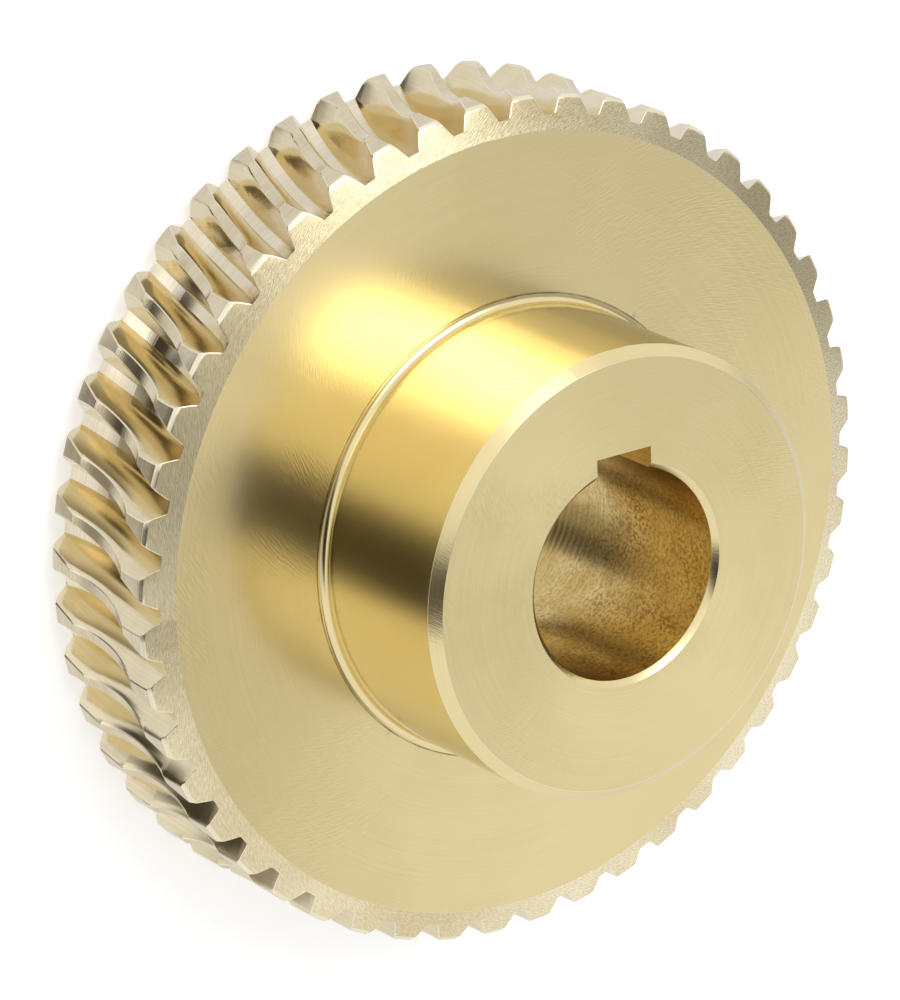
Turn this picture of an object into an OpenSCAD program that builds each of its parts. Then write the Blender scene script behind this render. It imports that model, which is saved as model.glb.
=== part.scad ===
// Worm wheel with a hub on one side, turned and hobbed from one piece of brass.
//
// The axis of the bore is Z and the hub points to +Z. The plane z = 0 is the middle plane of the
// throat, where the axis of the mating worm lies. The keyway opens towards +Y.

/* [Teeth] */
// Axial module of the worm, which is the transverse module of the wheel, mm
axial_module = 3.15; // [2.5:0.05:4]
// Number of teeth
tooth_count = 48; // [40:2:60]
// Starts of the mating worm, whose thread is right-handed
worm_starts = 4; // [1:1:4]
// Pitch diameter of the mating worm, mm
worm_pitch_d = 45; // [40:0.5:56]
// Axial pressure angle of the mating worm, degrees
pressure_angle = 20; // [16:0.5:22]
// Clearance under the worm's crest, as a share of the module
crest_clearance = 0.2; // [0.15:0.01:0.3]

/* [Rim] */
// How far the cylindrical lands beside the throat stand above the throat's lowest circle, mm
land_rise = 2; // [1:0.1:3]
// Width of the rim over its two bevelled edges, mm
rim_w = 29.5; // [24:0.5:34]
// Bevel on both edges of the rim, mm
rim_bevel = 0.45; // [0.2:0.05:0.8]

/* [Disc] */
// Width of the sloped ring on both faces, from the flat disc out to the rim, mm
ring_w = 6.25; // [5:0.25:7]
// How far each flat face stands out past the rim's edge, mm
disc_step = 2.1; // [1:0.1:3]

/* [Hub] */
// Outer diameter of the hub, mm
hub_d = 85; // [60:0.5:100]
// Height of the hub above the disc's flat face, mm
hub_h = 34; // [15:0.5:50]
// Chamfer on the hub's free end, mm
hub_chamfer = 1.9; // [0.5:0.1:4]
// Radius of the hollow fillet where the hub meets the disc, mm
hub_fillet = 1.5; // [0.5:0.1:4]

/* [Bore] */
// Diameter of the bore, mm
bore_d = 40; // [30:0.5:48]
// Chamfer at both ends of the bore, mm
bore_chamfer = 1; // [0.3:0.1:2]
// Width of the keyway, mm
key_w = 12; // [8:0.5:14]
// Depth of the keyway beyond the bore, at its middle, mm
key_depth = 3.3; // [2:0.1:5]

/* [Hidden] */

brass = [0.84, 0.75, 0.52];
$fn = 180;

// How far a cutting body reaches past the faces that it cuts
cut_past = 1;
// Planes across the rim on which a tooth space is worked out, and steps up each of its flanks
cross_steps = 8;
flank_steps = 2;
// Short cones in half a turn of the throat's arc
throat_cones = 24;

// Pitch radii of the wheel and the worm, and the distance between their axes
wheel_pitch_r = axial_module * tooth_count / 2;
worm_pitch_r = worm_pitch_d / 2;
axis_distance = wheel_pitch_r + worm_pitch_r;
// Radius of the hob's crest, and of the arc of the throat, both about the worm's axis
hob_crest_r = worm_pitch_r + (1 + crest_clearance) * axial_module;
throat_arc_r = worm_pitch_r - axial_module;
// Travel of the worm's thread along its axis for one radian of turn
thread_rise = axial_module * worm_starts / 2;

// Radii of the throat's lowest circle, the lands beside it and the flat disc
throat_r = wheel_pitch_r + axial_module;
rim_r = throat_r + land_rise;
disc_r = rim_r - ring_w;
hub_r = hub_d / 2;
bore_r = bore_d / 2;
// Heights of the rim's edge and of the flat face on the hub's side, and of the hub's end
rim_z = rim_w / 2;
disc_z = rim_z + disc_step;
hub_z = disc_z + hub_h;
hub_fillet_r = min(hub_fillet, disc_r - hub_r - 1);

radian = 180 / PI;

// Radius from the worm's axis of a point at distance x from the wheel's axis, in the plane z
function worm_r(x, z) = norm([axis_distance - x, z]);

// Place of a flank of the worm's thread along the worm's axis. The side is -1 or 1.
function thread_y(x, z, side) =
    thread_rise * atan2(z, axis_distance - x) / radian
    + side * (PI * axial_module / 4 - (worm_r(x, z) - worm_pitch_r) * tan(pressure_angle));

// Slope of that flank against x, in the same plane
function thread_slope(x, z, side) =
    (thread_rise * z / worm_r(x, z) + side * tan(pressure_angle) * (axis_distance - x)) / worm_r(x, z);

// How far the worm has moved along its axis when this point of its flank touches the wheel: the
// line square to the flank then passes through the pitch point
function travel_at_touch(x, z, side) =
    (wheel_pitch_r - x) / thread_slope(x, z, side) - thread_y(x, z, side);

// The point of the wheel that the thread's point (x, y) meets once the worm has travelled that far
function on_wheel(x, y, travel, z) =
    let (angle = atan2(y + travel, x) - travel / wheel_pitch_r * radian)
    norm([x, y + travel]) * [cos(angle), sin(angle), 0] + [0, 0, z];

// Distance from the wheel's axis to the floor of a tooth space, in the plane z
function floor_r(z) = axis_distance - sqrt(max(hob_crest_r ^ 2 - z ^ 2, 1));

// Distance from the axis that a tooth space reaches in the plane z, just past the throat or the land
function top_r(z) = min(rim_r, axis_distance - sqrt(max(throat_arc_r ^ 2 - z ^ 2, 1))) + cut_past;

// Where the thread's flank meets the wheel at radius r: a flank with this slope meets it there, and
// the slope is read at the place found by the step before
function touch_x(r, z, side, x, steps = 3) =
    steps == 0 ? x :
    let (
        c = 1 / thread_slope(x, z, side) ^ 2,
        next = (c * wheel_pitch_r + sqrt((1 + c) * r ^ 2 - c * wheel_pitch_r ^ 2)) / (1 + c)
    )
    touch_x(r, z, side, next, steps - 1);

// One side of a tooth space in the plane z, from its floor up past the rim: first the corner in the
// root, which the edge of the thread's crest leaves, and then the flank that the thread's side rolls
function space_side(z, side) =
    let (
        x0 = floor_r(z),
        x1 = touch_x(top_r(z), z, side, top_r(z)),
        y0 = thread_y(x0, z, side)
    )
    [
        on_wheel(x0, y0, -y0, z),
        for (i = [0:flank_steps])
            let (x = x0 + (x1 - x0) * i / flank_steps)
            on_wheel(x, thread_y(x, z, side), travel_at_touch(x, z, side), z)
    ];

function reversed(list) = [for (i = [len(list) - 1:-1:0]) list[i]];

// The outline of a tooth space in the plane z, once round
function space_outline(z) = concat(reversed(space_side(z, -1)), space_side(z, 1));

// One tooth space, swept across the rim through its outlines
module tooth_space() {
    z_end = disc_z + cut_past;
    outlines = [for (j = [0:cross_steps]) space_outline(z_end * (2 * j / cross_steps - 1))];
    n = len(outlines[0]);
    polyhedron(
        points = [for (outline = outlines) each outline],
        faces = [
            [for (i = [n - 1:-1:0]) i],
            [for (i = [0:n - 1]) cross_steps * n + i],
            for (j = [0:cross_steps - 1])
                for (i = [0:n - 1])
                    let (a = j * n + i, b = j * n + (i + 1) % n)
                    each [[a, b, a + n], [b, b + n, a + n]]
        ],
        convexity = 4
    );
}

// Half of the turned outline: disc, rim with its bevelled edges, hub and bore, with their chamfers
module straight_outline() {
    polygon([
        [bore_r + bore_chamfer, -disc_z],
        [disc_r, -disc_z],
        [rim_r - rim_bevel, -rim_z],
        [rim_r, -rim_z + rim_bevel],
        [rim_r, rim_z - rim_bevel],
        [rim_r - rim_bevel, rim_z],
        [disc_r, disc_z],
        [hub_r, disc_z],
        [hub_r, hub_z - hub_chamfer],
        [hub_r - hub_chamfer, hub_z],
        [bore_r + bore_chamfer, hub_z],
        [bore_r, hub_z - bore_chamfer],
        [bore_r, -disc_z + bore_chamfer]
    ]);
}

// The sharp corner between hub and disc, filled up to a quarter round
module fillet_outline() {
    difference() {
        translate([hub_r - cut_past, disc_z - cut_past])
            square(hub_fillet_r + cut_past);
        translate([hub_r + hub_fillet_r, disc_z + hub_fillet_r])
            circle(hub_fillet_r);
    }
}

// The throat's arc about the worm's axis, as a run of short cones
module throat_outline() {
    translate([axis_distance, 0])
        polygon([
            for (i = [0:throat_cones])
                let (angle = 90 + 180 * i / throat_cones)
                throat_arc_r * [cos(angle), sin(angle)]
        ]);
}

// The wheel as it leaves the lathe, with the throat turned into the rim as a round hollow
module turned_blank() {
    rotate_extrude()
        difference() {
            union() {
                straight_outline();
                fillet_outline();
            }
            throat_outline();
        }
}

// The keyway, cut through from end to end
module keyway() {
    translate([-key_w / 2, 0, -disc_z - cut_past])
        cube([key_w, bore_r + key_depth, hub_z + disc_z + 2 * cut_past]);
}

// The finished wheel: a tooth stands in line with the keyway at the middle plane
module worm_wheel() {
    color(brass)
    difference() {
        turned_blank();
        keyway();
        for (i = [0:tooth_count - 1])
            rotate([0, 0, 90 + (i + 0.5) * 360 / tooth_count]) tooth_space();
    }
}

worm_wheel();
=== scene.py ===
"""Looks of the worm wheel: a fine mesh of the turned and hobbed blank, its finishes, light and camera."""

import logging
import math
from dataclasses import dataclass, field
from enum import Enum

import bmesh
import bpy
import numpy as np
from mathutils import Matrix, Vector


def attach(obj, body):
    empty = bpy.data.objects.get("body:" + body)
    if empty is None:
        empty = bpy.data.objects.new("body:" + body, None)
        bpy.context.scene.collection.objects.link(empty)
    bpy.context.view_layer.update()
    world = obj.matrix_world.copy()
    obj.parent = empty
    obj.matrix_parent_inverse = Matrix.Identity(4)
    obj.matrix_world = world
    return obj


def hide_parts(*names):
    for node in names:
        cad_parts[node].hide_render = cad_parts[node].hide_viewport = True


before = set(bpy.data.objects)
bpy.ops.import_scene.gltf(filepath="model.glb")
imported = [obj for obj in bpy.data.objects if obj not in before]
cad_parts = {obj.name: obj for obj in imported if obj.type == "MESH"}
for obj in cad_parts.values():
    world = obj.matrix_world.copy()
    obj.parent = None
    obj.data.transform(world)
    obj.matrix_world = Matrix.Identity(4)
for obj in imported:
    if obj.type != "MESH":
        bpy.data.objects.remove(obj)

Socket = bpy.types.NodeSocket
Outputs = bpy.types.NodeOutputs
Array = np.ndarray
Triple = tuple[float, float, float]
Ends = tuple[Array, Array, Array, Array]

LOG = logging.getLogger("worm_wheel")
NODE = "worm_wheel"

# A millimetre in metres, and the millimetres in a metre
MM = 0.001
PER_METRE = 1000.0
# Where two points between the ends of a stretch cut it in three
THIRDS = (0.34, 0.67)
# Steps of a small and of a large rounding, and the radius in millimetres from which it is large
SMALL_STEPS = 3
LARGE_STEPS = 8
LARGE_FROM = 0.5
# Halvings in the search for a place
HALVINGS = 60
# Distance in metres under which points are joined, and length under which edges go
JOIN_WITHIN = 2e-6
EMPTY_UNDER = 1e-7

WHITE = (1.0, 1.0, 1.0, 1.0)
DIRT_BROWN = (0.16, 0.09, 0.03, 1.0)
TARNISH_BROWN = (0.30, 0.17, 0.05, 1.0)
# Weights of the tool's marks and of the clouding in the tone of the metal
MARKS_WEIGHT = 0.55
CLOUD_WEIGHT = 0.45
# Share of a turn that lays the broad side of the shine across the lathe lines
SHINE_TURN = 0.25


class Region(Enum):
    """Surfaces of the wheel that the maker leaves in different finishes; the broken edges' finish also
    paints a highlight along them.
    """

    FACE = 0
    RING = 1
    HUB = 2
    BORE = 3
    KEYWAY = 4
    LAND = 5
    FLANK = 6
    FLOOR = 7
    # Chamfers and roundings: real geometry, with a lighter tone that is a painted highlight along the edges
    EDGE = 8


class Marks(Enum):
    """Marks in the metal: round lines spaced outwards or along the axis, or frosted grain."""

    FACING = 0
    TURNING = 1
    GRAIN = 2


def way_to(bearing: float, elevation: float) -> Triple:
    """Direction of a place round the wheel.

    Args:
        bearing: Degrees from the X axis towards the Y axis.
        elevation: Degrees above the horizon.

    Returns:
        The direction, of length one.
    """
    az, el = math.radians(bearing), math.radians(elevation)
    return (math.cos(az) * math.cos(el), math.sin(az) * math.cos(el), math.sin(el))


@dataclass(frozen=True)
class WormDrive:
    """Sizes of the worm and wheel pair, in millimetres, and the shape of the tooth spaces they give."""

    module: float = 3.15
    tooth_count: int = 48
    worm_starts: int = 4
    worm_pitch_d: float = 45.0
    pressure_angle: float = math.radians(20.0)
    crest_clearance: float = 0.2
    # Points on the root's corner and on a flank, and how far out the flank goes past the pitch radius
    root_points: int = 24
    flank_points: int = 120
    flank_modules: float = 3.5
    least_rise: float = 1e-7

    @property
    def wheel_pitch_r(self) -> float:
        """Pitch radius of the wheel."""
        return self.module * self.tooth_count / 2

    @property
    def worm_pitch_r(self) -> float:
        """Pitch radius of the worm."""
        return self.worm_pitch_d / 2

    @property
    def axis_distance(self) -> float:
        """Distance between the axes of wheel and worm."""
        return self.wheel_pitch_r + self.worm_pitch_r

    @property
    def hob_crest_r(self) -> float:
        """Radius of the hob's crest."""
        return self.worm_pitch_r + (1 + self.crest_clearance) * self.module

    @property
    def throat_arc_r(self) -> float:
        """Radius of the throat's arc about the worm's axis."""
        return self.worm_pitch_r - self.module

    @property
    def thread_rise(self) -> float:
        """Travel of the thread along the worm's axis for one radian of turn."""
        return self.module * self.worm_starts / 2

    def floor_r(self, z: float) -> float:
        """Distance from the wheel's axis to the floor of a tooth space in the plane z."""
        return self.axis_distance - math.sqrt(max(self.hob_crest_r**2 - z**2, 1.0))

    def thread_y(self, x: Array, z: float, side: int) -> Array:
        """Place of a flank of the thread along the worm's axis.

        Args:
            x: Distances from the wheel's axis.
            z: Height of the plane.
            side: Which flank, -1 or 1.

        Returns:
            The place along the worm's axis for each x.
        """
        reach = self.axis_distance - x
        radius = np.hypot(reach, z)
        half = math.pi * self.module / 4 - (radius - self.worm_pitch_r) * math.tan(self.pressure_angle)
        return self.thread_rise * np.arctan2(z, reach) + side * half

    def thread_slope(self, x: Array, z: float, side: int) -> Array:
        """Slope of the flank against x in the plane z.

        Args:
            x: Distances from the wheel's axis.
            z: Height of the plane.
            side: Which flank, -1 or 1.

        Returns:
            The slope for each x.
        """
        reach = self.axis_distance - x
        radius = np.hypot(reach, z)
        return (self.thread_rise * z / radius + side * math.tan(self.pressure_angle) * reach) / radius

    def section(self, z: float, side: int) -> tuple[Array, Array]:
        """One side of a tooth space in the plane z, from its floor outwards.

        The corner of the thread's crest first sweeps the root, and then the thread's flank rolls the
        tooth's flank: it touches where the line square to it passes through the pitch point.

        Args:
            z: Height of the plane.
            side: Which side, -1 or 1.

        Returns:
            Radii and angles of the points, the radii rising.
        """
        x_floor = self.floor_r(z)
        start = np.array([x_floor])
        y_floor = float(self.thread_y(start, z, side)[0])
        touch = (self.wheel_pitch_r - x_floor) / float(self.thread_slope(start, z, side)[0])
        offset = np.linspace(0.0, touch, self.root_points)
        root_r = np.hypot(x_floor, offset)
        root_angle = np.arctan2(offset, x_floor) - (offset - y_floor) / self.wheel_pitch_r
        x_end = self.wheel_pitch_r + self.flank_modules * self.module
        x = np.linspace(x_floor, x_end, self.flank_points)[1:]
        offset = (self.wheel_pitch_r - x) / self.thread_slope(x, z, side)
        flank_r = np.hypot(x, offset)
        travel = offset - self.thread_y(x, z, side)
        flank_angle = np.arctan2(offset, x) - travel / self.wheel_pitch_r
        radii = np.concatenate([root_r, flank_r])
        angles = np.concatenate([root_angle, flank_angle])
        highest = np.maximum.accumulate(radii)[:-1]
        rising = np.concatenate([[True], radii[1:] > highest + self.least_rise])
        return radii[rising], angles[rising]


@dataclass(frozen=True)
class Corner:
    """A corner of the turned outline, in millimetres, with the finish after it and that of its rounding."""

    r: float
    z: float
    region: Region
    rounding: float = 0.0
    curve: Region = Region.EDGE

    @property
    def steps(self) -> int:
        """Steps in which its rounding is made."""
        return SMALL_STEPS if self.rounding < LARGE_FROM else LARGE_STEPS


@dataclass
class Outline:
    """A run of outline points, each with the finish of the stretch that follows it."""

    points: list[tuple[float, float]] = field(default_factory=list)
    regions: list[Region] = field(default_factory=list)

    def add(self, r: float, z: float, region: Region) -> None:
        """Adds one point."""
        self.points.append((r, z))
        self.regions.append(region)

    @classmethod
    def rounded(cls, corners: list[Corner]) -> "Outline":
        """Joins corners by straight lines and rounds each one that asks for it.

        Args:
            corners: The corners in order. The first and last are never rounded.

        Returns:
            The outline with its roundings.
        """
        made = cls()
        for i, corner in enumerate(corners):
            if corner.rounding <= 0 or i in (0, len(corners) - 1):
                made.add(corner.r, corner.z, corner.region)
                continue
            here = np.array([corner.r, corner.z])
            back = np.array([corners[i - 1].r, corners[i - 1].z]) - here
            ahead = np.array([corners[i + 1].r, corners[i + 1].z]) - here
            back /= np.linalg.norm(back)
            ahead /= np.linalg.norm(ahead)
            half = math.acos(float(np.clip(back @ ahead, -1, 1))) / 2
            reach = corner.rounding / math.tan(half)
            inward = (back + ahead) / np.linalg.norm(back + ahead)
            middle = here + inward * corner.rounding / math.sin(half)
            first, last = here + back * reach - middle, here + ahead * reach - middle
            turn = math.atan2(first[0] * last[1] - first[1] * last[0], float(first @ last))
            for k in range(corner.steps + 1):
                c, s = math.cos(turn * k / corner.steps), math.sin(turn * k / corner.steps)
                point = middle + np.array([c * first[0] - s * first[1], s * first[0] + c * first[1]])
                region = corner.region if k == corner.steps else corner.curve
                made.add(float(point[0]), float(point[1]), region)
        return made


@dataclass
class Surface:
    """Vertices and faces that grow ring by ring, with a finish for each face."""

    points: list[Triple] = field(default_factory=list)
    faces: list[tuple[int, ...]] = field(default_factory=list)
    finishes: list[int] = field(default_factory=list)

    def ring(self, positions: Array) -> Array:
        """Adds a closed ring of points.

        Args:
            positions: One row of x, y, z in millimetres for each point.

        Returns:
            The indices of the points.
        """
        start = len(self.points)
        self.points.extend(map(tuple, positions * MM))
        return np.arange(start, start + len(positions))

    def band(self, low: Array, high: Array, finishes: list[Region]) -> None:
        """Joins two rings of the same count with four-sided faces.

        Args:
            low: Indices of the first ring.
            high: Indices of the second ring.
            finishes: The finish of each face.
        """
        n = len(low)
        for i in range(n):
            j = (i + 1) % n
            self.faces.append((int(low[i]), int(low[j]), int(high[j]), int(high[i])))
            self.finishes.append(finishes[i].value)

    def zip(self, low: Array, low_angles: Array, high: Array, high_angles: Array, finish: Region) -> None:
        """Joins two rings of different counts with triangles.

        Args:
            low: Indices of the first ring.
            low_angles: Angles of its points.
            high: Indices of the second ring.
            high_angles: Angles of its points.
            finish: The finish of all the faces.
        """
        low, low_angles = self.once_round(low, low_angles)
        high, high_angles = self.once_round(high, high_angles)
        i = j = 0
        while i < len(low) - 1 or j < len(high) - 1:
            high_done = j == len(high) - 1
            on_low = high_done or (i < len(low) - 1 and low_angles[i + 1] <= high_angles[j + 1])
            ahead = low[i + 1] if on_low else high[j + 1]
            self.faces.append((int(low[i]), int(ahead), int(high[j])))
            self.finishes.append(finish.value)
            i, j = (i + 1, j) if on_low else (i, j + 1)

    @staticmethod
    def once_round(ring: Array, angles: Array) -> tuple[Array, Array]:
        """Sorts a ring by angle and ends it with its first point again, a turn later.

        Args:
            ring: Indices of the points.
            angles: Their angles.

        Returns:
            The indices and angles in rising angle.
        """
        turn = 2 * math.pi
        order = np.argsort(angles % turn, kind="stable")
        ring, angles = ring[order], (angles % turn)[order]
        return np.append(ring, ring[0]), np.append(angles, angles[0] + turn)


@dataclass
class Wheel:
    """The wheel's turned sizes in millimetres, and the methods that build and dress its mesh."""

    drive: WormDrive = field(default_factory=WormDrive)
    rim_r: float = 80.75
    rim_w: float = 29.5
    rim_bevel: float = 0.6
    disc_r: float = 74.5
    disc_step: float = 2.1
    hub_r: float = 42.5
    hub_h: float = 34.0
    hub_chamfer: float = 1.9
    hub_fillet: float = 1.5
    bore_r: float = 20.0
    bore_chamfer: float = 1.0
    key_w: float = 12.0
    key_depth: float = 3.3
    key_corner: float = 0.15
    # Roundings of the outer corners and of the bore's chamfers
    edge_round: float = 0.12
    lip_round: float = 0.06
    # Broken edge along each flank, and the most that it takes of the depth
    tooth_edge: float = 0.2
    tooth_edge_share: float = 0.35
    # Points that round the bevel, as steps in radius and height from its inner and outer corner
    bevel_inner: tuple[tuple[float, float], ...] = ((-0.12, 0.044), (0.05, -0.07))
    bevel_outer: tuple[tuple[float, float], ...] = ((-0.06, 0.05), (0.0, -0.10))
    # How far from the edge of land and throat the points that break it lie: before, inside and behind
    throat_edge: Triple = (0.06, 0.02, 0.08)
    # Extra rings: on the disc, beyond the bore's mouth, beside the fillet and up the sloped ring
    disc_ring_r: float = 60.0
    end_ring: float = 5.0
    fillet_ring: float = 0.05
    slope_share: float = 0.35
    # Rings nearer to the bore's mouth than this follow the keyway
    bore_zone: float = 1.0
    # Points along a flank, which crowd at its foot, and along a floor and a land
    side_points: int = 9
    side_crowding: float = 1.15
    floor_points: int = 3
    land_points: int = 4
    # Steps of the sloped ring, of half the throat's arc and of the keyway's corners
    ring_steps: int = 7
    throat_steps: int = 8
    key_corner_steps: int = 3
    # Points along half of the keyway's top, as shares of it
    key_top_shares: tuple[float, ...] = (0.6, 0.25)
    circle_columns: int = 336
    sharp_angle: float = math.radians(32.0)

    @property
    def rim_z(self) -> float:
        """Height of the rim's end planes."""
        return self.rim_w / 2

    @property
    def disc_z(self) -> float:
        """Height of the flat faces of the disc."""
        return self.rim_z + self.disc_step

    @property
    def hub_z(self) -> float:
        """Height of the hub's free end."""
        return self.disc_z + self.hub_h

    @property
    def lip_r(self) -> float:
        """Radius of the bore's mouth, over its chamfer."""
        return self.bore_r + self.bore_chamfer

    @property
    def tooth_end(self) -> tuple[float, float]:
        """Where the floor of a tooth space runs out on the sloped ring, found by halving.

        Returns:
            Radius and height.
        """
        inner = self.rim_r - self.rim_bevel
        slope = (self.disc_r - inner) / self.disc_step
        low, high = self.rim_z, self.disc_z
        for _ in range(HALVINGS):
            middle = (low + high) / 2
            if inner + slope * (middle - self.rim_z) > self.drive.floor_r(middle):
                low = middle
            else:
                high = middle
        return inner + slope * (low - self.rim_z), low

    def rim_outline(self) -> Outline:
        """The outline from the front end of the tooth spaces over the rim to their back end.

        Returns:
            The outline, whose back half mirrors its front half.
        """
        end_r, end_z = self.tooth_end
        bevel_r, bevel_z = self.rim_r - self.rim_bevel, self.rim_z - self.rim_bevel
        arc, reach = self.drive.throat_arc_r, self.drive.axis_distance - self.rim_r
        throat_z = math.sqrt(arc**2 - reach**2)
        half = [(end_r, end_z, Region.RING)]
        for k in range(1, self.ring_steps):
            share = k / self.ring_steps
            r, z = end_r + (bevel_r - end_r) * share, end_z + (self.rim_z - end_z) * share
            half.append((r, z, Region.RING))
        half += [(bevel_r + out, self.rim_z + up, Region.EDGE) for out, up in self.bevel_inner]
        half += [(self.rim_r + out, bevel_z + up, Region.LAND) for out, up in self.bevel_outer]
        on_land, in_corner, on_arc = self.throat_edge
        land_z, edge_z = half[-1][1], throat_z + on_land
        half += [(self.rim_r, land_z + (edge_z - land_z) * share, Region.LAND) for share in THIRDS]
        half.append((self.rim_r, edge_z, Region.EDGE))
        half.append((self.rim_r - in_corner, throat_z - in_corner, Region.LAND))
        start = math.asin((throat_z - on_arc) / arc)
        for k in range(self.throat_steps):
            angle = start * (1 - k / self.throat_steps)
            r, z = self.drive.axis_distance - arc * math.cos(angle), arc * math.sin(angle)
            half.append((r, z, Region.LAND))
        made = Outline()
        for r, z, region in half:
            made.add(r, z, region)
        made.add(self.drive.axis_distance - arc, 0.0, Region.LAND)
        for k in range(len(half) - 1, -1, -1):
            made.add(half[k][0], -half[k][1], half[k - 1][2] if k else Region.RING)
        return made

    def core_outline(self) -> Outline:
        """The outline from the front ring over the disc, hub and bore to the back ring.

        Returns:
            The outline with its roundings.
        """
        end_r, end_z = self.tooth_end
        ring_r = self.disc_r + self.slope_share * (end_r - self.disc_r)
        ring_z = self.disc_z + self.slope_share * (end_z - self.disc_z)
        edge, lip_edge, lip = self.edge_round, self.lip_round, self.lip_r
        corners = [
            Corner(ring_r, ring_z, Region.RING),
            Corner(self.disc_r, self.disc_z, Region.FACE, edge),
            Corner(self.disc_ring_r, self.disc_z, Region.FACE),
            Corner(self.hub_r + self.hub_fillet + self.fillet_ring, self.disc_z, Region.FACE),
            Corner(self.hub_r, self.disc_z, Region.HUB, self.hub_fillet, Region.HUB),
            Corner(self.hub_r, self.hub_z - self.hub_chamfer, Region.FACE, edge),
            Corner(self.hub_r - self.hub_chamfer, self.hub_z, Region.FACE, edge),
            Corner(lip + self.end_ring, self.hub_z, Region.FACE),
            Corner(lip, self.hub_z, Region.FACE, lip_edge),
            Corner(self.bore_r, self.hub_z - self.bore_chamfer, Region.BORE, lip_edge),
            Corner(self.bore_r, self.bore_chamfer - self.disc_z, Region.EDGE, lip_edge),
            Corner(lip, -self.disc_z, Region.FACE, lip_edge),
            Corner(lip + self.end_ring, -self.disc_z, Region.FACE),
            Corner(self.disc_ring_r, -self.disc_z, Region.FACE),
            Corner(self.disc_r, -self.disc_z, Region.RING, edge),
            Corner(ring_r, -ring_z, Region.RING),
        ]
        return Outline.rounded(corners)

    def key_line(self, radius: float) -> Array:
        """Points of the keyway's walls and top at one height, from its right wall to its left.

        Args:
            radius: Radius of the bore or its chamfer at this height, where the walls begin.

        Returns:
            One row of x and y for each point.
        """
        half, top, corner = self.key_w / 2, self.bore_r + self.key_depth, self.key_corner
        foot = math.sqrt(radius**2 - half**2)
        right = [(half, foot + (top - corner - foot) * share) for share in THIRDS]
        for k in range(self.key_corner_steps + 1):
            turn = math.pi / 2 * k / self.key_corner_steps
            right.append((half - corner + corner * math.cos(turn), top - corner + corner * math.sin(turn)))
        right += [(half * share, top) for share in self.key_top_shares]
        left = [(-x, y) for x, y in reversed(right)]
        return np.array(right + left)

    def core_ring(self, r: float, z: float) -> tuple[Array, Array]:
        """One ring of the core, round the bore's keyway where the ring lies on the bore or its chamfer.

        Args:
            r: Radius of the ring.
            z: Height of the ring.

        Returns:
            One row of x, y, z for each point, and their angles.
        """
        on_bore = r < self.lip_r + self.bore_zone
        inner = r if on_bore else self.lip_r
        gap = math.asin(self.key_w / 2 / inner)
        circle = math.pi / 2 + np.linspace(gap, 2 * math.pi - gap, self.circle_columns)
        key = self.key_line(inner)
        if on_bore:
            flat = np.concatenate([np.stack([inner * np.cos(circle), inner * np.sin(circle)], 1), key])
        else:
            angles = np.concatenate([circle, 2 * math.pi + np.arctan2(key[:, 1], key[:, 0])])
            flat = np.stack([r * np.cos(angles), r * np.sin(angles)], 1)
        angles = np.arctan2(flat[:, 1], flat[:, 0])
        return np.column_stack([flat, np.full(len(flat), z)]), angles

    def add_core(self, surface: Surface) -> Ends:
        """Adds the disc, hub and bore.

        Args:
            surface: The surface that grows.

        Returns:
            Indices and angles of the front ring, and of the back ring.
        """
        outline = self.core_outline()
        rings, angles = [], []
        for r, z in outline.points:
            ring, ring_angles = self.core_ring(r, z)
            rings.append(surface.ring(ring))
            angles.append(ring_angles)
        circle = self.circle_columns - 1
        key = len(rings[0]) - circle
        for k in range(len(rings) - 1):
            region = outline.regions[k]
            on_bore = max(outline.points[k][0], outline.points[k + 1][0]) < self.lip_r + self.bore_zone
            finishes = [region] * circle + [Region.KEYWAY if on_bore else region] * key
            surface.band(rings[k], rings[k + 1], finishes)
        return rings[0], angles[0], rings[-1], angles[-1]

    def tooth_side(self, r: float, z: float, side: int) -> tuple[Array, Array, float]:
        """One flank at one height, from the floor up to its broken edge.

        Args:
            r: Radius of the turned blank at this height.
            z: Height of the ring.
            side: Which flank, -1 or 1.

        Returns:
            Radii and angles of its points, and the angle at which the land begins.
        """
        depth = max(r - self.drive.floor_r(z), 0.0)
        edge = min(self.tooth_edge, self.tooth_edge_share * depth)
        radii, angles = self.drive.section(z, side)
        land = float(np.interp(r, radii, angles)) + side * edge / r
        top = r - edge
        keep = radii < top
        cut_r = np.concatenate([radii[keep], [top]])
        cut_a = np.concatenate([angles[keep], [float(np.interp(top, radii, angles))]])
        if len(cut_r) < 2:
            cut_r, cut_a = np.repeat(cut_r, 2), np.repeat(cut_a, 2)
        steps = np.hypot(np.diff(cut_r), cut_r[1:] * np.diff(cut_a))
        length = np.concatenate([[0], np.cumsum(steps)])
        at = np.linspace(0, 1, self.side_points) ** self.side_crowding * length[-1]
        return np.interp(at, length, cut_r), np.interp(at, length, cut_a), land

    def rim_ring(self, r: float, z: float) -> tuple[Array, Array]:
        """One ring of the toothed rim: floor, flanks and land of each tooth space in turn.

        Args:
            r: Radius of the turned blank at this height.
            z: Height of the ring.

        Returns:
            One row of x, y, z for each point, and their angles.
        """
        low_r, low_a, low_land = self.tooth_side(r, z, -1)
        high_r, high_a, high_land = self.tooth_side(r, z, 1)
        pitch = 2 * math.pi / self.drive.tooth_count
        floor_a = np.linspace(low_a[0], high_a[0], self.floor_points + 2)[1:-1]
        land_a = np.linspace(high_land, low_land + pitch, self.land_points)
        floor_r, land_r = np.full(len(floor_a), low_r[0]), np.full(len(land_a), r)
        one_r = np.concatenate([low_r[::-1], floor_r, high_r, land_r])
        one_a = np.concatenate([low_a[::-1], floor_a, high_a, land_a])
        steps = math.pi / 2 + (np.arange(self.drive.tooth_count) + 0.5) * pitch
        angles = (steps[:, None] + one_a[None, :]).ravel()
        radii = np.tile(one_r, self.drive.tooth_count)
        points = np.stack([radii * np.cos(angles), radii * np.sin(angles), np.full(len(radii), z)], 1)
        return points, angles

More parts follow.
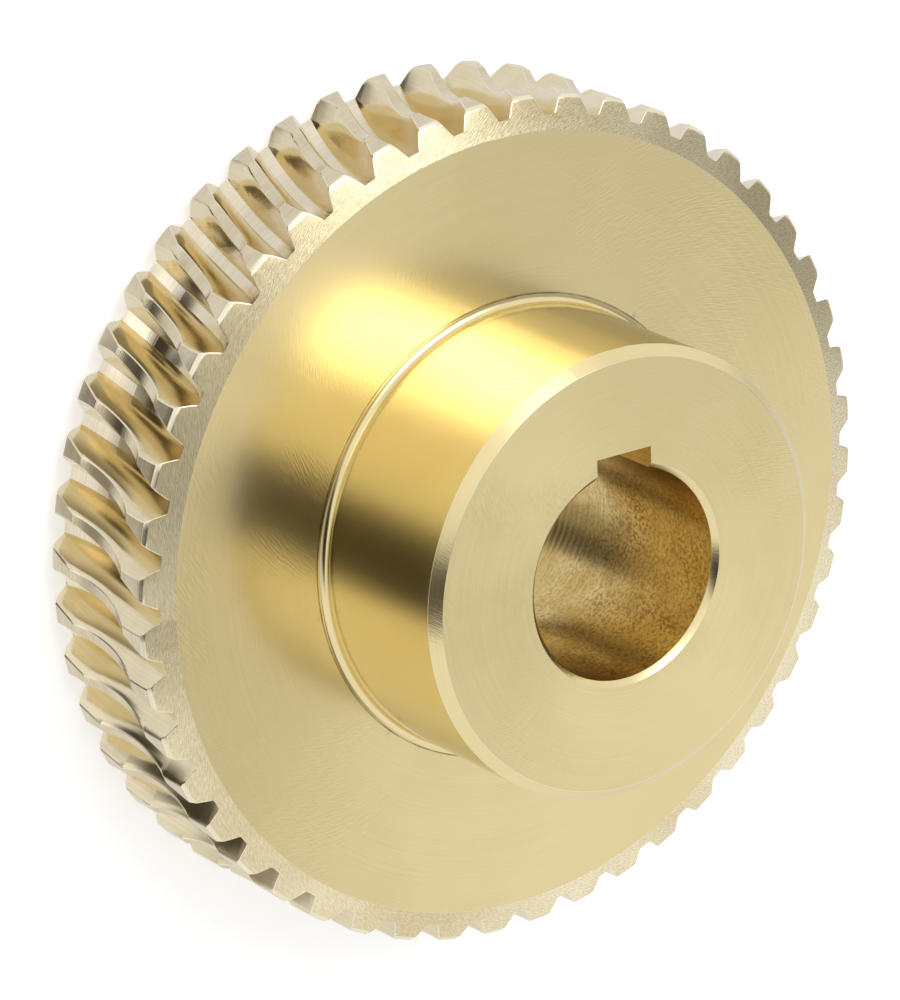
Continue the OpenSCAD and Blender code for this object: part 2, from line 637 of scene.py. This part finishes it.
    def add_rim(self, surface: Surface) -> Ends:
        """Adds the toothed rim.

        Args:
            surface: The surface that grows.

        Returns:
            Indices and angles of the front ring, and of the back ring.
        """
        outline = self.rim_outline()
        rings, angles = [], []
        for r, z in outline.points:
            ring, ring_angles = self.rim_ring(r, z)
            rings.append(surface.ring(ring))
            angles.append(ring_angles)
        flank = [Region.FLANK] * (self.side_points - 1)
        gullet = flank + [Region.FLOOR] * (self.floor_points + 1) + flank
        for k in range(len(rings) - 1):
            region = outline.regions[k]
            one = gullet + [Region.EDGE] + [region] * (self.land_points - 1) + [Region.EDGE]
            surface.band(rings[k], rings[k + 1], one * self.drive.tooth_count)
        return rings[0], angles[0], rings[-1], angles[-1]

    def build(self) -> bpy.types.Object:
        """Builds the whole wheel as one closed mesh.

        Returns:
            The wheel, with the index of its finish on each face.
        """
        surface = Surface()
        core_front, core_front_a, core_back, core_back_a = self.add_core(surface)
        rim_front, rim_front_a, rim_back, rim_back_a = self.add_rim(surface)
        surface.zip(rim_front, rim_front_a, core_front, core_front_a, Region.RING)
        surface.zip(core_back, core_back_a, rim_back, rim_back_a, Region.RING)
        mesh = bpy.data.meshes.new("dressed_worm_wheel")
        mesh.from_pydata(surface.points, [], surface.faces)
        mesh.polygons.foreach_set("material_index", surface.finishes)
        self.clean(mesh)
        mesh.set_sharp_from_angle(angle=self.sharp_angle)
        wheel = bpy.data.objects.new("dressed_worm_wheel", mesh)
        bpy.context.scene.collection.objects.link(wheel)
        even = wheel.modifiers.new("even_faces", "WEIGHTED_NORMAL")
        even.keep_sharp = True
        return wheel

    @staticmethod
    def clean(mesh: bpy.types.Mesh) -> None:
        """Joins doubled points, drops empty faces, turns all faces outwards and reports the volume.

        Args:
            mesh: The wheel's mesh.
        """
        work = bmesh.new()
        work.from_mesh(mesh)
        bmesh.ops.remove_doubles(work, verts=work.verts, dist=JOIN_WITHIN)
        bmesh.ops.dissolve_degenerate(work, edges=work.edges, dist=EMPTY_UNDER)
        bmesh.ops.recalc_face_normals(work, faces=work.faces)
        if work.calc_volume(signed=True) < 0:
            bmesh.ops.reverse_faces(work, faces=work.faces)
        open_edges = sum(1 for e in work.edges if len(e.link_faces) != 2)
        volume = work.calc_volume() / MM**3
        LOG.info("volume %.0f mm3, %d faces, %d open edges", volume, len(work.faces), open_edges)
        for face in work.faces:
            face.smooth = True
        work.to_mesh(mesh)
        work.free()


class Nodes:
    """A node tree with short calls to add and join nodes."""

    def __init__(self, tree: bpy.types.NodeTree) -> None:
        """Keeps the tree."""
        self.tree = tree

    def add(self, kind: str, inputs: dict | None = None, **settings: object) -> bpy.types.Node:
        """Adds a node.

        Args:
            kind: The node's type name.
            inputs: Values, or sockets to join, by input name or index.
            settings: Properties of the node.

        Returns:
            The node.
        """
        node = self.tree.nodes.new(kind)
        for name, value in settings.items():
            setattr(node, name, value)
        for name, value in (inputs or {}).items():
            self.put(node.inputs[name], value)
        return node

    def put(self, socket: Socket, value: object) -> None:
        """Joins a socket to an input, or sets the input's value.

        Args:
            socket: The input.
            value: The socket to join to it, or its value.
        """
        if isinstance(value, Socket):
            self.tree.links.new(value, socket)
        else:
            socket.default_value = value

    def math(self, operation: str, a: object, b: object = 0.0) -> Socket:
        """Works out one or two values by the named operation and gives the result."""
        return self.add("ShaderNodeMath", {0: a, 1: b}, operation=operation).outputs[0]

    def times(self, a: object, b: object) -> Socket:
        """Multiplies two values and gives the result."""
        return self.math("MULTIPLY", a, b)

    def plus(self, a: object, b: object) -> Socket:
        """Adds two values and gives the result."""
        return self.math("ADD", a, b)

    def over(self, a: object, b: object) -> Socket:
        """Divides the first value by the second and gives the result."""
        return self.math("DIVIDE", a, b)

    def spread(self, value: object, low: float, high: float, to_low: float = 0.0,
               to_high: float = 1.0) -> Socket:
        """Maps a value from one range to another, kept inside it, and gives the result."""
        inputs = {"Value": value, "From Min": low, "From Max": high, "To Min": to_low, "To Max": to_high}
        return self.add("ShaderNodeMapRange", inputs, clamp=True).outputs[0]

    def mix(self, share: object, a: object, b: object) -> Socket:
        """Mixes two colours.

        Args:
            share: Share of the second colour.
            a: First colour.
            b: Second colour.

        Returns:
            The mixed colour.
        """
        node = self.add("ShaderNodeMix", data_type="RGBA")
        for index, value in ((0, share), (6, a), (7, b)):
            self.put(node.inputs[index], value)
        return node.outputs[2]

    def place(self) -> Socket:
        """Adds the object's own coordinates, in metres, and gives them."""
        return self.add("ShaderNodeTexCoord").outputs["Object"]

    def pair(self, x: object, y: object) -> Socket:
        """Joins two values to a vector and gives it."""
        return self.add("ShaderNodeCombineXYZ", {0: x, 1: y}).outputs[0]

    def noise(self, vector: object, scale: object = 1.0, detail: object = 2.0, roughness: float = 0.5,
              dimensions: str = "3D") -> Socket:
        """Adds noise.

        Args:
            vector: Where it is read.
            scale: Waves for each unit of the vector.
            detail: Finer layers that are added.
            roughness: Weight of the finer layers.
            dimensions: How many dimensions it has, as the node names them.

        Returns:
            The noise, spread about a half.
        """
        inputs = {"Vector": vector, "Scale": scale, "Detail": detail, "Roughness": roughness}
        return self.add("ShaderNodeTexNoise", inputs, noise_dimensions=dimensions).outputs[0]

    def bump(self, height: object, size: float, under: object = None) -> Socket:
        """Adds relief.

        Args:
            height: Its height, as a share of its size.
            size: Its size in millimetres.
            under: The relief that it lies on, if any.

        Returns:
            The normal.
        """
        inputs = {"Strength": 1.0, "Distance": size * MM, "Height": height}
        if under is not None:
            inputs["Normal"] = under
        return self.add("ShaderNodeBump", inputs).outputs[0]


class Effect:
    """A shader node group that several finishes share."""

    def __init__(self, name: str, inputs: dict[str, float], outputs: tuple[str, ...]) -> None:
        """Makes the group's frame.

        Args:
            name: The group's name.
            inputs: Names and first values of its inputs, all plain numbers.
            outputs: Names of its outputs, all plain numbers.
        """
        self.tree = bpy.data.node_groups.new(name, "ShaderNodeTree")
        for key, value in inputs.items():
            socket = self.tree.interface.new_socket(name=key, in_out="INPUT", socket_type="NodeSocketFloat")
            socket.default_value = value
        for key in outputs:
            self.tree.interface.new_socket(name=key, in_out="OUTPUT", socket_type="NodeSocketFloat")
        self.nodes = Nodes(self.tree)
        self.given = self.nodes.add("NodeGroupInput").outputs
        self.result = self.nodes.add("NodeGroupOutput").inputs

    def place(self, nodes: Nodes, values: dict[str, object]) -> Outputs:
        """Places the group in a material and gives its outputs."""
        return nodes.add("ShaderNodeGroup", values, node_tree=self.tree).outputs


class Effects:
    """The shared effects: place round the axis, tool marks, clouding, dirt, tarnish, waves and rubbing."""

    def __init__(self) -> None:
        """Builds the groups once."""
        self.polar = self.make_polar()
        self.lathe = self.make_lathe()
        self.grain = self.make_grain()
        self.cloud = self.make_cloud()
        self.dirt = self.make_dirt()
        self.spots = self.make_spots()
        self.scratches = self.make_scratches()
        self.chatter = self.make_chatter()

    @staticmethod
    def make_polar() -> Effect:
        """Distance from the bore's axis and height in millimetres, and angle round the axis in radians.

        Returns:
            The group.
        """
        effect = Effect("bore_polar", {}, ("Radius", "Angle", "Height"))
        n = effect.nodes
        x, y, z = n.add("ShaderNodeSeparateXYZ", {0: n.place()}).outputs
        squares = n.plus(n.times(x, x), n.times(y, y))
        n.put(effect.result["Radius"], n.times(n.math("SQRT", squares), PER_METRE))
        n.put(effect.result["Angle"], n.math("ARCTAN2", y, x))
        n.put(effect.result["Height"], n.times(z, PER_METRE))
        return effect

    @staticmethod
    def make_lathe() -> Effect:
        """Fine lines left by the tool at a given spacing along Across, broken a little along the turn.

        Returns:
            The group.
        """
        inputs = {"Across": 0.0, "Along": 0.0, "Spacing": 0.3, "Break": 0.5}
        effect = Effect("lathe_lines", inputs, ("Lines",))
        n, given = effect.nodes, effect.given
        across = n.over(given["Across"], given["Spacing"])
        along = n.times(given["Along"], given["Break"])
        lines = n.noise(n.pair(across, along), detail=3.0, roughness=0.65, dimensions="2D")
        n.put(effect.result["Lines"], n.spread(lines, 0.3, 0.7))
        return effect

    @staticmethod
    def make_grain() -> Effect:
        """Frosted grain, longer one way than the other, from two coordinates in millimetres.

        Returns:
            The group.
        """
        inputs = {"Long": 0.0, "Short": 0.0, "Length": 2.0, "Width": 0.4}
        effect = Effect("frosted_grain", inputs, ("Grain",))
        n, given = effect.nodes, effect.given
        along = n.over(given["Long"], given["Length"])
        over = n.over(given["Short"], given["Width"])
        grain = n.noise(n.pair(along, over), detail=4.0, roughness=0.7, dimensions="2D")
        n.put(effect.result["Grain"], n.spread(grain, 0.32, 0.68))
        return effect

    @staticmethod
    def make_cloud() -> Effect:
        """Soft uneven patches in the metal's tone, of a given size in millimetres.

        Returns:
            The group.
        """
        effect = Effect("tone_clouding", {"Size": 12.0, "Detail": 3.0}, ("Cloud",))
        n, given = effect.nodes, effect.given
        scale = n.over(PER_METRE, given["Size"])
        cloud = n.noise(n.place(), scale, given["Detail"], roughness=0.55)
        n.put(effect.result["Cloud"], n.spread(cloud, 0.35, 0.65))
        return effect

    @staticmethod
    def make_dirt() -> Effect:
        """Thin dark line and brown spots that gather on the disc at the foot of the hub, as a mask.

        Returns:
            The group.
        """
        effect = Effect("corner_dirt", {"Radius": 0.0, "Angle": 0.0, "Height": 0.0}, ("Dirt",))
        n, given = effect.nodes, effect.given
        foot = Wheel.hub_r + Wheel.hub_fillet
        turn = n.pair(n.math("COSINE", given["Angle"]), n.math("SINE", given["Angle"]))
        wander = n.noise(turn, scale=9.0, detail=5.0, roughness=0.7)
        off = n.math("ABSOLUTE", n.math("SUBTRACT", given["Radius"], foot))
        line = n.times(n.spread(off, 0.12, 0.4, 1.0, 0.0), n.spread(wander, 0.3, 0.6, to_low=0.35))
        fading = n.spread(given["Radius"], foot + 0.3, foot + 1.6, 0.6, 0.0)
        spots = n.times(n.spread(wander, 0.58, 0.68), fading)
        front = n.math("GREATER_THAN", given["Height"], 0.0)
        outside = n.math("GREATER_THAN", given["Radius"], foot - 0.8)
        where = n.times(front, outside)
        n.put(effect.result["Dirt"], n.times(n.math("MAXIMUM", line, spots), where))
        return effect

    @staticmethod
    def make_spots() -> Effect:
        """Small dark mottles of tarnish, crowded near the bore's front end and rare deeper in.

        Returns:
            The group.
        """
        effect = Effect("tarnish_spots", {"Size": 0.65, "Height": 0.0}, ("Spots",))
        n, given = effect.nodes, effect.given
        scale = n.over(PER_METRE, given["Size"])
        fine = n.noise(n.place(), scale, detail=4.0, roughness=0.7)
        wide = n.noise(n.place(), scale=90.0)
        rising = n.spread(given["Height"], 6.0, 26.0, to_low=0.15)
        crowd = n.times(n.spread(wide, 0.3, 0.6, to_low=0.4), rising)
        n.put(effect.result["Spots"], n.times(n.spread(fine, 0.49, 0.55), crowd))
        return effect

    @staticmethod
    def make_chatter() -> Effect:
        """Wide uneven waves that the boring tool left in the deeper half of the bore, as a height.

        Returns:
            The group.
        """
        inputs = {"Height": 0.0, "Angle": 0.0, "Ripple": 4.2, "Sway": 16.0}
        effect = Effect("boring_waves", inputs, ("Waves",))
        n, given = effect.nodes, effect.given
        sway = n.times(n.noise(n.place(), scale=70.0), given["Sway"])
        phase = n.plus(n.times(given["Height"], given["Ripple"]), sway)
        wave = n.math("SINE", n.plus(phase, given["Angle"]))
        fading = n.spread(given["Height"], 2.0, 22.0, 0.5, 0.0)
        n.put(effect.result["Waves"], n.times(wave, fading))
        return effect

    @staticmethod
    def make_scratches() -> Effect:
        """Hairline rubbing marks that cross the disc on a spiral, in patches, as a height.

        Returns:
            The group.
        """
        inputs = {"Radius": 0.0, "Angle": 0.0, "Length": 4.0, "Width": 0.45, "Spiral": 55.0}
        effect = Effect("rubbing_marks", inputs, ("Marks",))
        n, given = effect.nodes, effect.given
        turn = n.times(given["Angle"], given["Spiral"])
        along = n.over(n.math("SUBTRACT", given["Radius"], turn), given["Length"])
        over = n.over(n.plus(given["Radius"], turn), given["Width"])
        lines = n.noise(n.pair(along, over), dimensions="2D")
        part = n.noise(n.place(), scale=70.0, detail=1.0)
        n.put(effect.result["Marks"], n.times(n.spread(lines, 0.4, 0.65), n.spread(part, 0.35, 0.6)))
        return effect


@dataclass(frozen=True)
class Finish:
    """One finish of the brass: two tones, their roughness, and the marks that the maker leaves."""

    name: str
    light: Triple
    dark: Triple
    # Roughness of the light and of the dark tone
    roughness: tuple[float, float]
    marks: Marks
    # Spacing of the marks and their relief, in millimetres
    spacing: float
    relief: float
    # How often lines break round the axis, or the length of grain in millimetres
    break_up: float
    cloud_size: float
    anisotropy: float = 0.0
    # Shares of dirt and tarnish that show
    dirt: float = 0.0
    spots: float = 0.0
    # Relief of rubbing marks and tool waves in millimetres, and the mean lean of the lines in degrees
    scratches: float = 0.0
    chatter: float = 0.0
    lean: float = 0.0

    def material(self, effects: Effects) -> bpy.types.Material:
        """Builds the material.

        Args:
            effects: The shared node groups.

        Returns:
            The material for this finish.
        """
        made = bpy.data.materials.new(self.name)
        made.use_nodes = True
        n = Nodes(made.node_tree)
        shader = made.node_tree.nodes["Principled BSDF"]
        polar = effects.polar.place(n, {})
        marks = self.place_marks(n, effects, polar)
        cloud = effects.cloud.place(n, {"Size": self.cloud_size})["Cloud"]
        tone = n.plus(n.times(marks, MARKS_WEIGHT), n.times(cloud, CLOUD_WEIGHT))
        metal = n.mix(tone, (*self.dark, 1.0), (*self.light, 1.0))
        n.put(shader.inputs["Base Color"], self.stain(n, effects, polar, metal))
        n.put(shader.inputs["Metallic"], 1.0)
        n.put(shader.inputs["Roughness"], n.spread(tone, 0.0, 1.0, self.roughness[1], self.roughness[0]))
        n.put(shader.inputs["Normal"], self.raise_marks(n, effects, polar, marks))
        if self.anisotropy:
            n.put(shader.inputs["Anisotropic"], self.anisotropy)
            n.put(shader.inputs["Anisotropic Rotation"], SHINE_TURN)
            round_axis = n.add("ShaderNodeTangent", direction_type="RADIAL", axis="Z")
            n.put(shader.inputs["Tangent"], round_axis.outputs[0])
        return made

    def place_marks(self, n: Nodes, effects: Effects, polar: Outputs) -> Socket:
        """Places the marks of the tool.

        Args:
            n: The material's nodes.
            effects: The shared node groups.
            polar: Radius, angle and height.

        Returns:
            The marks, from 0 to 1.
        """
        if self.marks is Marks.GRAIN:
            arc = n.times(polar["Angle"], polar["Radius"])
            inputs = {"Long": polar["Radius"], "Short": arc, "Length": self.break_up, "Width": self.spacing}
            return effects.grain.place(n, inputs)["Grain"]
        across = polar["Radius" if self.marks is Marks.FACING else "Height"]
        inputs = {"Across": across, "Along": polar["Angle"], "Spacing": self.spacing, "Break": self.break_up}
        return effects.lathe.place(n, inputs)["Lines"]

    def stain(self, n: Nodes, effects: Effects, polar: Outputs, colour: Socket) -> Socket:
        """Darkens the metal where dirt or tarnish lies on it.

        Args:
            n: The material's nodes.
            effects: The shared node groups.
            polar: Radius, angle and height.
            colour: The clean metal.

        Returns:
            The colour with its stains.
        """
        if self.dirt:
            place = {key: polar[key] for key in ("Radius", "Angle", "Height")}
            dirt = effects.dirt.place(n, place)["Dirt"]
            colour = n.mix(n.times(dirt, self.dirt), colour, DIRT_BROWN)
        if self.spots:
            spots = effects.spots.place(n, {"Height": polar["Height"]})["Spots"]
            colour = n.mix(n.times(spots, self.spots), colour, TARNISH_BROWN)
        return colour

    def raise_marks(self, n: Nodes, effects: Effects, polar: Outputs, marks: Socket) -> Socket:
        """Gives the marks their relief, and adds the lean, the tool's waves and the rubbing marks.

        Args:
            n: The material's nodes.
            effects: The shared node groups.
            polar: Radius, angle and height.
            marks: The marks of the tool.

        Returns:
            The normal.
        """
        normal = n.bump(marks, self.relief)
        if self.lean:
            slope = n.times(polar["Radius"], -math.tan(math.radians(self.lean)))
            normal = n.bump(slope, 1.0, normal)
        if self.chatter:
            place = {key: polar[key] for key in ("Angle", "Height")}
            waves = effects.chatter.place(n, place)["Waves"]
            normal = n.bump(waves, self.chatter, normal)
        if self.scratches:
            place = {key: polar[key] for key in ("Radius", "Angle")}
            rubbed = effects.scratches.place(n, place)["Marks"]
            normal = n.bump(rubbed, self.scratches, normal)
        return normal


FINISHES = {
    Region.FACE: Finish(
        "faced_brass", light=(0.86, 0.725, 0.405), dark=(0.815, 0.68, 0.355), roughness=(0.19, 0.23),
        marks=Marks.FACING, spacing=0.25, relief=0.001, break_up=0.8, cloud_size=22.0,
        anisotropy=0.75, dirt=0.9, scratches=0.006, lean=1.0),
    Region.RING: Finish(
        "frosted_ring", light=(1.00, 0.91, 0.65), dark=(0.60, 0.48, 0.25), roughness=(0.15, 0.22),
        marks=Marks.GRAIN, spacing=0.42, relief=0.02, break_up=0.6, cloud_size=40.0),
    Region.HUB: Finish(
        "turned_hub", light=(0.86, 0.74, 0.42), dark=(0.82, 0.68, 0.35), roughness=(0.13, 0.17),
        marks=Marks.TURNING, spacing=0.3, relief=0.0005, break_up=0.8, cloud_size=18.0, anisotropy=0.5),
    Region.BORE: Finish(
        "reamed_bore", light=(0.84, 0.67, 0.32), dark=(0.60, 0.42, 0.13), roughness=(0.18, 0.26),
        marks=Marks.TURNING, spacing=0.5, relief=0.004, break_up=3.0, cloud_size=5.0,
        spots=0.85, chatter=0.014),
    Region.KEYWAY: Finish(
        "broached_keyway", light=(0.80, 0.60, 0.25), dark=(0.68, 0.49, 0.16), roughness=(0.22, 0.32),
        marks=Marks.FACING, spacing=0.3, relief=0.002, break_up=0.5, cloud_size=6.0),
    Region.LAND: Finish(
        "brushed_land", light=(0.87, 0.77, 0.57), dark=(0.70, 0.60, 0.42), roughness=(0.14, 0.22),
        marks=Marks.TURNING, spacing=0.22, relief=0.006, break_up=1.2, cloud_size=5.0),
    Region.FLANK: Finish(
        "hobbed_flank", light=(0.90, 0.80, 0.575), dark=(0.81, 0.70, 0.46), roughness=(0.12, 0.18),
        marks=Marks.FACING, spacing=0.5, relief=0.0005, break_up=2.0, cloud_size=5.0),
    Region.FLOOR: Finish(
        "hobbed_floor", light=(0.89, 0.81, 0.63), dark=(0.76, 0.67, 0.50), roughness=(0.10, 0.16),
        marks=Marks.TURNING, spacing=0.3, relief=0.003, break_up=2.0, cloud_size=5.0),
    # Broken edges: real chamfers, given a lighter, whiter tone than the faces beside them as a painted
    # highlight along every edge
    Region.EDGE: Finish(
        "broken_edge_painted_highlight", light=(0.93, 0.86, 0.68), dark=(0.84, 0.75, 0.53), roughness=(0.20, 0.28),
        marks=Marks.TURNING, spacing=0.3, relief=0.001, break_up=1.5, cloud_size=4.0),
}


@dataclass(frozen=True)
class Camera:
    """The camera, placed by a fit to the circles of the wheel in the photograph."""

    # Focal length and height of the picture in pixels
    focal_px: float = 6312.3
    image_h: float = 1000.0
    sensor_mm: float = 36.0
    # Nearest and furthest distance that it sees, in metres
    clip: tuple[float, float] = (0.01, 50.0)
    place: Triple = (-0.632924, 0.396765, 0.904481)
    right: Triple = (0.8136, -0.0319, 0.5807)
    ahead: Triple = (0.5381, -0.3378, -0.7723)

    def build(self) -> None:
        """Makes the camera and sets it as the scene's."""
        data = bpy.data.cameras.new("photo_view")
        data.sensor_fit = "AUTO"
        data.sensor_width = self.sensor_mm
        data.lens = self.focal_px / self.image_h * self.sensor_mm
        data.clip_start, data.clip_end = self.clip
        ahead = Vector(self.ahead).normalized()
        right = Vector(self.right)
        right = (right - ahead * right.dot(ahead)).normalized()
        up = right.cross(ahead)
        turn = Matrix((right, up, -ahead)).transposed()
        camera = bpy.data.objects.new("photo_view", data)
        camera.matrix_world = Matrix.Translation(Vector(self.place)) @ turn.to_4x4()
        bpy.context.scene.collection.objects.link(camera)
        bpy.context.scene.camera = camera


@dataclass(frozen=True)
class SoftLamp:
    """A large soft lamp, placed by its direction from the wheel in degrees, with its sizes in metres."""

    name: str
    bearing: float
    elevation: float
    distance: float
    width: float
    height: float
    watts: float

    def build(self) -> None:
        """Makes the lamp, turned towards the wheel."""
        data = bpy.data.lights.new(self.name, "AREA")
        data.shape = "RECTANGLE"
        data.size, data.size_y = self.width, self.height
        data.energy = self.watts
        away = Vector(way_to(self.bearing, self.elevation))
        lamp = bpy.data.objects.new(self.name, data)
        lamp.location = away * self.distance
        lamp.rotation_euler = away.to_track_quat("Z", "Y").to_euler()
        bpy.context.scene.collection.objects.link(lamp)


@dataclass(frozen=True)
class SkyPatch:
    """A round part of the surroundings, fading from the inner to the outer angle, all angles in degrees."""

    bearing: float
    elevation: float
    inner: float
    outer: float
    level: float
    tint: Triple = (1.0, 1.0, 1.0)

    @property
    def colour(self) -> tuple[float, float, float, float]:
        """Its level and tint as one colour."""
        return (*(self.level * share for share in self.tint), 1.0)


@dataclass
class Studio:
    """The white floor, the lamp and the sky round the wheel, in metres."""

    # The floor lies just clear of the wheel's back face
    floor_z: float = -0.017
    floor_size: float = 12.0
    floor_tone: float = 0.85
    # Glow of the floor to the camera, which makes it plain white outside the shadow
    floor_glow: float = 0.45
    # Even level of the sky between its patches
    sky: float = 0.95
    lamp: SoftLamp = SoftLamp(
        "top_lamp", bearing=80.0, elevation=50.0, distance=1.6, width=0.5, height=0.4, watts=0.3
    )
    # Each with its bearing, elevation, inner and outer angle, level and tint
    patches: tuple[SkyPatch, ...] = (
        SkyPatch(0.0, -90.0, 70.0, 86.0, 0.82),
        SkyPatch(150.0, 88.0, 8.0, 20.0, 0.48, (1.0, 0.93, 0.75)),
        SkyPatch(222.0, 72.0, 4.0, 14.0, 0.50),
        SkyPatch(300.0, 62.0, 5.0, 17.0, 0.22, (1.0, 0.86, 0.45)),
        SkyPatch(356.0, 5.0, 8.0, 20.0, 0.38),
        SkyPatch(0.0, 28.0, 9.0, 21.0, 0.38),
        SkyPatch(3.0, 50.0, 10.0, 23.0, 0.45),
        SkyPatch(132.0, 50.0, 8.0, 18.0, 1.10),
        SkyPatch(82.0, 50.0, 10.0, 27.0, 1.50),
        SkyPatch(80.0, 50.0, 2.0, 25.0, 3.70),
        SkyPatch(188.0, 50.0, 8.0, 20.0, 0.0),
        SkyPatch(191.0, 33.0, 6.0, 18.0, 0.03, (1.0, 0.85, 0.5)),
        SkyPatch(186.0, 66.0, 4.0, 15.0, 0.10, (1.0, 0.85, 0.5)),
        SkyPatch(174.0, -34.0, 16.0, 30.0, 0.32, (1.0, 0.92, 0.75)),
        SkyPatch(140.0, -20.0, 8.0, 17.0, 0.05, (1.0, 0.85, 0.6)),
        SkyPatch(158.0, -42.0, 8.0, 16.0, 0.05, (1.0, 0.85, 0.6)),
        SkyPatch(140.0, 5.0, 9.0, 16.0, 1.35),
    )

    def build(self) -> None:
        """Makes floor, lamp and sky."""
        self.build_floor()
        self.lamp.build()
        self.build_sky()

    def build_floor(self) -> None:
        """Makes the floor: it is white to the camera, keeps the shadow and is hidden from reflections."""
        half = self.floor_size / 2
        mesh = bpy.data.meshes.new("floor")
        corners = [(-half, -half), (half, -half), (half, half), (-half, half)]
        mesh.from_pydata([(x, y, self.floor_z) for x, y in corners], [], [(0, 1, 2, 3)])
        floor = bpy.data.objects.new("floor", mesh)
        floor.visible_glossy = False
        bpy.context.scene.collection.objects.link(floor)
        made = bpy.data.materials.new("white_floor")
        made.use_nodes = True
        n = Nodes(made.node_tree)
        n.tree.nodes.clear()
        seen = n.add("ShaderNodeLightPath").outputs["Is Camera Ray"]
        grey = (self.floor_tone, self.floor_tone, self.floor_tone, 1.0)
        body = n.add("ShaderNodeBsdfDiffuse", {"Color": grey}).outputs[0]
        strength = n.times(seen, self.floor_glow)
        glow = n.add("ShaderNodeEmission", {"Color": WHITE, "Strength": strength}).outputs[0]
        both = n.add("ShaderNodeAddShader", {0: body, 1: glow}).outputs[0]
        n.add("ShaderNodeOutputMaterial", {"Surface": both})
        mesh.materials.append(made)

    def build_sky(self) -> None:
        """Makes the surroundings: one even level with soft patches, and plain white to the camera."""
        world = bpy.data.worlds.new("studio_sky")
        bpy.context.scene.world = world
        world.use_nodes = True
        n = Nodes(world.node_tree)
        n.tree.nodes.clear()
        way = n.add("ShaderNodeTexCoord").outputs["Generated"]
        colour: object = (self.sky, self.sky, self.sky, 1.0)
        for patch in self.patches:
            inputs = {0: way, 1: way_to(patch.bearing, patch.elevation)}
            near = n.add("ShaderNodeVectorMath", inputs, operation="DOT_PRODUCT").outputs["Value"]
            low, high = math.cos(math.radians(patch.outer)), math.cos(math.radians(patch.inner))
            mask = n.add("ShaderNodeMapRange", {"Value": near, "From Min": low, "From Max": high},
                         interpolation_type="SMOOTHSTEP").outputs[0]
            colour = n.mix(mask, colour, patch.colour)
        seen = n.add("ShaderNodeLightPath").outputs["Is Camera Ray"]
        colour = n.mix(seen, colour, WHITE)
        sky = n.add("ShaderNodeBackground", {"Color": colour, "Strength": 1.0}).outputs[0]
        n.add("ShaderNodeOutputWorld", {"Surface": sky})


def main() -> None:
    """Builds the wheel, its finishes, the studio and the camera."""
    logging.basicConfig(level=logging.INFO, format="%(name)s: %(message)s")
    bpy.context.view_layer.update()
    wheel = Wheel().build()
    effects = Effects()
    for region in Region:
        wheel.data.materials.append(FINISHES[region].material(effects))
    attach(wheel, "root")
    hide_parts(NODE)
    LOG.info("%s: %d faces", wheel.name, len(wheel.data.polygons))
    studio = Studio()
    studio.build()
    LOG.info("studio: floor, lamp and sky of %d patches", len(studio.patches))
    Camera().build()
    LOG.info("camera: photo_view")
    bpy.context.scene.view_settings.view_transform = "Standard"


if __name__ == "__main__":
    main()
